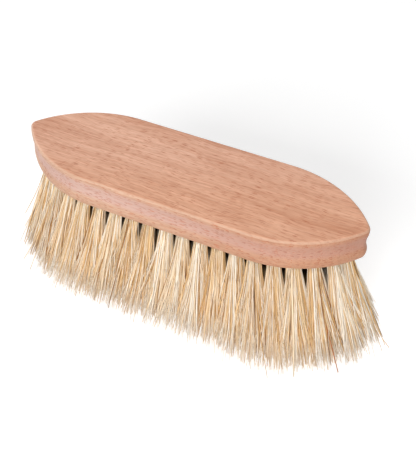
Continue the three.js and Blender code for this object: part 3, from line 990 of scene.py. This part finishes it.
class BRUSH_OT_anchors(bpy.types.Operator):
    """Make the second row's anchor wires and finish the wires of the other rows"""

    bl_idname = "dusting_brush.anchors"
    bl_label = "Anchor wires"

    def execute(self, context):
        block, tufts, _ = settings_of(context)
        material = steel_material(tufts, shared_group("Streaks", streaks_group))
        mesh = anchor_wires(block, tufts, all_rows(block, tufts.bristle_length)["second"])
        new_piece("second_row_anchor_wires", mesh, material, "anchor_steel", "block")
        for name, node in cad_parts.items():
            if "_anchor_wire_" in name:
                node.data.materials.clear()
                node.data.materials.append(material)
        return {"FINISHED"}


class BRUSH_OT_tufts(bpy.types.Operator):
    """Make the folded tufts of all three rows"""

    bl_idname = "dusting_brush.tufts"
    bl_label = "Tufts"

    def execute(self, context):
        block, settings, _ = settings_of(context)
        material = fibre_finish(settings)
        rows = all_rows(block, settings.bristle_length)
        near = rows["outer"].mouth[:, 1] < 0
        near_row, far_row = some_of(rows["outer"], near), some_of(rows["outer"], ~near)
        skin = (settings.outer_fibres, SKIN_TINTS, SKIN_LIGHT)
        core = (settings.outer_fibres // 2, CORE_TINTS, CORE_LIGHT)
        deep = (settings.inner_fibres, DEEP_TINTS, DEEP_LIGHT)
        groups = (
            ("outer_tufts_near", "outer_row_tufts", near_row, skin),
            ("outer_tufts_near_core", "outer_row_tufts", near_row, core),
            ("outer_tufts_far", "outer_row_tufts", far_row, skin),
            ("outer_tufts_far_core", "outer_row_tufts", far_row, core),
            ("second_tufts", "second_row_tufts", rows["second"], deep),
            ("centre_tufts", "centre_row_tufts", rows["centre"], deep),
        )
        for seed, (name, node, tufts, (count, tints, light)) in enumerate(groups, TUFT_SEED):
            made = tuft_fibres(block, settings, tufts, count, tints, np.random.default_rng(seed))
            mesh = fibre_mesh(name, *made, openness(FALL, light))
            piece = new_piece(name, mesh, material, "fibre", node)
            # Only the inner rows cast a shadow; the shade within the outer layers is painted into
            # their tints.
            piece.visible_shadow = light is DEEP_LIGHT
        return {"FINISHED"}


class BRUSH_OT_strays(bpy.types.Operator):
    """Make the single wild fibres that cross the tufts"""

    bl_idname = "dusting_brush.strays"
    bl_label = "Stray fibres"

    def execute(self, context):
        block, settings, _ = settings_of(context)
        outer = all_rows(block, settings.bristle_length)["outer"]
        made = stray_fibres(block, settings, outer, np.random.default_rng(STRAY_SEED))
        mesh = fibre_mesh("stray_fibres", *made, openness(LONG_FALL, STRAY_LIGHT))
        new_piece("stray_fibres", mesh, fibre_finish(settings), "fibre", "outer_row_tufts")
        return {"FINISHED"}


# The area lights: name, place, width and height.
LIGHTS = (
    ("key_light", (0.02, -1.28, 0.6), 1.0, 0.7),
    ("top_light", (0.15, 0.25, 1.4), 1.4, 1.2),
    ("left_light", (-1.2, 0.5, 0.3), 0.8, 0.5),
    ("right_light", (1.2, -0.3, 0.3), 0.8, 0.5),
)
LIGHT_AIM = (0, 0, 0.04)
RIGHT_SHARE = 0.5
# A faint glow that only the camera sees keeps the floor pale.
FLOOR_GLOW = 0.28
FLOOR_FINISH = {"Roughness": 0.9, "Specular IOR Level": 0.1}
# The camera: its place, the turn and rise of its sight, its sensor in mm and its range.
CAMERA_PLACE = (0.187517, -0.352314, 0.402356)
CAMERA_TURN = 0.46410
CAMERA_RISE = 0.75326
SENSOR_WIDTH = 36
CAMERA_RANGE = (0.01, 20)
WHITE = (1, 1, 1, 1)


def area_light(name, place, width, height, power):
    data = bpy.data.lights.new(name, "AREA")
    data.shape = "RECTANGLE"
    data.size, data.size_y, data.energy = width, height, power
    lamp = loose_object(name, data)
    lamp.location = place
    lamp.rotation_euler = (Vector(LIGHT_AIM) - lamp.location).to_track_quat("-Z", "Y").to_euler()


def pale_floor(studio):
    bm = bmesh.new()
    bmesh.ops.create_grid(bm, x_segments=1, y_segments=1, size=studio.floor_size / 2)
    floor = loose_object("floor", mesh_from(bm, "floor"))
    material, tree, shader = new_material("pale_floor")
    glow = tree.math("MULTIPLY", tree.add("LightPath").outputs["Is Camera Ray"], FLOOR_GLOW)
    tree.feed(shader, {"Base Color": (*studio.floor_colour, 1), "Emission Color": WHITE,
                       "Emission Strength": glow, **FLOOR_FINISH})
    floor.data.materials.append(material)


def white_room(scene, studio):
    """White where the camera or a reflection sees it, and a softer even light on the brush."""
    scene.world = bpy.data.worlds.new("white_room")
    scene.world.use_nodes = True
    tree = Tree(scene.world.node_tree)
    path = tree.add("LightPath").outputs
    plain = tree.math("MAXIMUM", path["Is Camera Ray"],
                      tree.math("MAXIMUM", path["Is Glossy Ray"], path["Is Transmission Ray"]))
    tree.feed(tree.tree.nodes["Background"],
              {"Color": WHITE, "Strength": tree.between(plain, (studio.sky_level, 1.0))})


def photo_camera(scene, studio):
    data = bpy.data.cameras.new("camera")
    data.lens, data.sensor_width, data.sensor_fit = studio.focal_length, SENSOR_WIDTH, "AUTO"
    data.clip_start, data.clip_end = CAMERA_RANGE
    camera = loose_object("camera", data)
    level = math.cos(CAMERA_RISE)
    back = Vector((math.sin(CAMERA_TURN) * level, -math.cos(CAMERA_TURN) * level,
                   math.sin(CAMERA_RISE)))
    camera.location = CAMERA_PLACE
    camera.rotation_euler = (-back).to_track_quat("-Z", "Y").to_euler()
    scene.camera = camera


class BRUSH_OT_studio(bpy.types.Operator):
    """Make the floor, the lights, the white surroundings and the camera"""

    bl_idname = "dusting_brush.studio"
    bl_label = "Studio"

    def execute(self, context):
        _, _, studio = settings_of(context)
        pale_floor(studio)
        powers = (studio.key_power, studio.top_power, studio.rim_power,
                  RIGHT_SHARE * studio.rim_power)
        for light, power in zip(LIGHTS, powers):
            area_light(*light, power)
        white_room(context.scene, studio)
        photo_camera(context.scene, studio)
        context.scene.view_settings.view_transform = "Standard"
        return {"FINISHED"}


OPERATORS = (BRUSH_OT_block, BRUSH_OT_anchors, BRUSH_OT_tufts, BRUSH_OT_strays, BRUSH_OT_studio)


class BRUSH_PT_panel(bpy.types.Panel):
    """The brush's steps and settings in the sidebar"""

    bl_idname = "BRUSH_PT_panel"
    bl_label = "Dusting Brush"
    bl_space_type = "VIEW_3D"
    bl_region_type = "UI"
    bl_category = "Brush"

    def draw(self, context):
        for operator in OPERATORS:
            self.layout.operator(operator.bl_idname)
        for settings in settings_of(context):
            box = self.layout.box()
            for name in settings.bl_rna.properties.keys():
                if name not in ("rna_type", "name"):
                    box.prop(settings, name)


CLASSES = (BlockSettings, TuftSettings, StudioSettings, *OPERATORS, BRUSH_PT_panel)


def register():
    for cls in CLASSES:
        bpy.utils.register_class(cls)
    bpy.types.Scene.brush_block = PointerProperty(type=BlockSettings)
    bpy.types.Scene.brush_tufts = PointerProperty(type=TuftSettings)
    bpy.types.Scene.brush_studio = PointerProperty(type=StudioSettings)


def unregister():
    del bpy.types.Scene.brush_studio
    del bpy.types.Scene.brush_tufts
    del bpy.types.Scene.brush_block
    for cls in reversed(CLASSES):
        bpy.utils.unregister_class(cls)


def main():
    register()
    bpy.ops.dusting_brush.block()
    bpy.ops.dusting_brush.anchors()
    bpy.ops.dusting_brush.tufts()
    bpy.ops.dusting_brush.strays()
    bpy.ops.dusting_brush.studio()


if __name__ == "__main__":
    main()
